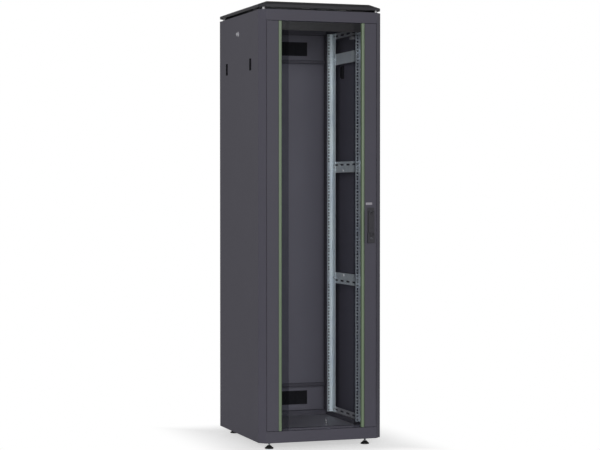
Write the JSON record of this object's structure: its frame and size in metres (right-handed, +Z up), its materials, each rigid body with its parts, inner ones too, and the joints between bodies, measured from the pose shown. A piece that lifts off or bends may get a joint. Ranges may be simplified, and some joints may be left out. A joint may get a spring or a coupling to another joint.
{
  "type": "network server rack cabinet",
  "caption": "Free-standing 19-inch network cabinet with a hinged glass front door, swing handle, lift-off side and rear panels, square-hole rack rails and levelling feet.",
  "frame": {"origin": "on the floor under the middle of the cabinet, with the feet screwed in", "axes": "+Z up, front door towards -Y, +X to the right as seen from the front"},
  "size_m": [0.605, 0.6896, 2.0599],
  "materials": {
    "grey_paint": "fine-textured dark grey powder coat",
    "zinc": "bluish zinc plating",
    "steel": "bright plated steel",
    "black_plastic": "fine-grained black",
    "green_strip": "satin green",
    "smoked_glass": "clear toughened glass with a grey tint"
  },
  "bodies": {
    "frame": {"base_frame": "grey_paint", "floor_plate_rear": "grey_paint", "floor_plate_front": "grey_paint", "earth_stud": "steel", "top_frame": "grey_paint", "post_front_left": "grey_paint", "post_front_right": "grey_paint", "post_rear_left": "grey_paint", "post_rear_right": "grey_paint", "roof_cover": "grey_paint", "roof_spacers": "steel", "roof_bolts": "steel", "rear_crossbars": "grey_paint", "rear_panel_top": "grey_paint", "rear_panel_base": "grey_paint", "cable_cover_top": "black_plastic", "cable_cover_base": "black_plastic", "rail_front_left": "zinc", "rail_front_right": "zinc", "rail_rear_left": "zinc", "rail_rear_right": "zinc", "strut_upper_front_left": "zinc", "strut_upper_front_right": "zinc", "strut_upper_rear_left": "zinc", "strut_upper_rear_right": "zinc", "strut_middle_left": "zinc", "strut_middle_right": "zinc", "strut_lower_left": "zinc", "strut_lower_right": "zinc", "rail_screws": "steel", "hinge_pin_top": "steel", "hinge_pin_base": "steel"},
    "front_door": {"door_stile_left": "grey_paint", "door_stile_right": "grey_paint", "door_glass": "smoked_glass", "door_strip_left": "green_strip", "door_strip_right": "green_strip", "handle_base": "black_plastic"},
    "handle_hub": {"handle_spindle": "steel", "handle_tongue": "steel"},
    "handle_lever": {"handle_lever": "black_plastic", "handle_lever_pin": "steel"},
    "handle_lock": {"handle_lock": "steel"},
    "side_panel_left": {"side_panel_left": "grey_paint", "side_grips_left": "black_plastic"},
    "side_panel_right": {"side_panel_right": "grey_paint", "side_grips_right": "black_plastic"},
    "side_lock_left": {"side_lock_left": "steel"},
    "side_lock_right": {"side_lock_right": "steel"},
    "rear_panel": {"rear_panel": "grey_paint"},
    "rear_lock": {"rear_lock": "steel"},
    "foot_front_left": {"foot_pad_front_left": "black_plastic", "foot_stud_front_left": "steel"},
    "foot_front_right": {"foot_pad_front_right": "black_plastic", "foot_stud_front_right": "steel"},
    "foot_rear_left": {"foot_pad_rear_left": "black_plastic", "foot_stud_rear_left": "steel"},
    "foot_rear_right": {"foot_pad_rear_right": "black_plastic", "foot_stud_rear_right": "steel"}
  },
  "joints": [
    {"name": "front_door_hinge", "type": "hinge", "parent": "frame", "child": "front_door", "pos_m": [-0.256, -0.3315, 1.028], "axis": [0, 0, -1], "range_deg": [0, 120]},
    {"name": "handle_turn", "type": "hinge", "parent": "front_door", "child": "handle_hub", "pos_m": [0.2405, -0.3375, 1.092], "axis": [0, 1, 0], "range_deg": [0, 90]},
    {"name": "handle_lift", "type": "hinge", "parent": "handle_hub", "child": "handle_lever", "pos_m": [0.2405, -0.3447, 1.092], "axis": [-1, 0, 0], "range_deg": [0, 35]},
    {"name": "handle_lock_turn", "type": "hinge", "parent": "front_door", "child": "handle_lock", "pos_m": [0.2405, -0.3375, 0.97], "axis": [0, 1, 0], "range_deg": [0, 90]},
    {"name": "side_panel_left_tilt", "type": "hinge", "parent": "frame", "child": "side_panel_left", "pos_m": [-0.3, 0, 0.0353], "axis": [0, -1, 0], "range_deg": [0, 15]},
    {"name": "side_panel_right_tilt", "type": "hinge", "parent": "frame", "child": "side_panel_right", "pos_m": [0.3, 0, 0.0353], "axis": [0, 1, 0], "range_deg": [0, 15]},
    {"name": "side_lock_left_turn", "type": "hinge", "parent": "side_panel_left", "child": "side_lock_left", "pos_m": [-0.3, 0, 1.9309], "axis": [1, 0, 0], "range_deg": [0, 90]},
    {"name": "side_lock_right_turn", "type": "hinge", "parent": "side_panel_right", "child": "side_lock_right", "pos_m": [0.3, 0, 1.9309], "axis": [1, 0, 0], "range_deg": [0, 90]},
    {"name": "rear_panel_tilt", "type": "hinge", "parent": "frame", "child": "rear_panel", "pos_m": [0, 0.3375, 0.2143], "axis": [-1, 0, 0], "range_deg": [0, 15]},
    {"name": "rear_lock_turn", "type": "hinge", "parent": "rear_panel", "child": "rear_lock", "pos_m": [0, 0.3375, 1.8089], "axis": [0, 1, 0], "range_deg": [0, 90]},
    {"name": "foot_front_left_screw", "type": "slide", "parent": "frame", "child": "foot_front_left", "axis": [0, 0, -1], "range_m": [0, 0.022]},
    {"name": "foot_front_right_screw", "type": "slide", "parent": "frame", "child": "foot_front_right", "axis": [0, 0, -1], "range_m": [0, 0.022]},
    {"name": "foot_rear_left_screw", "type": "slide", "parent": "frame", "child": "foot_rear_left", "axis": [0, 0, -1], "range_m": [0, 0.022]},
    {"name": "foot_rear_right_screw", "type": "slide", "parent": "frame", "child": "foot_rear_right", "axis": [0, 0, -1], "range_m": [0, 0.022]}
  ]
}
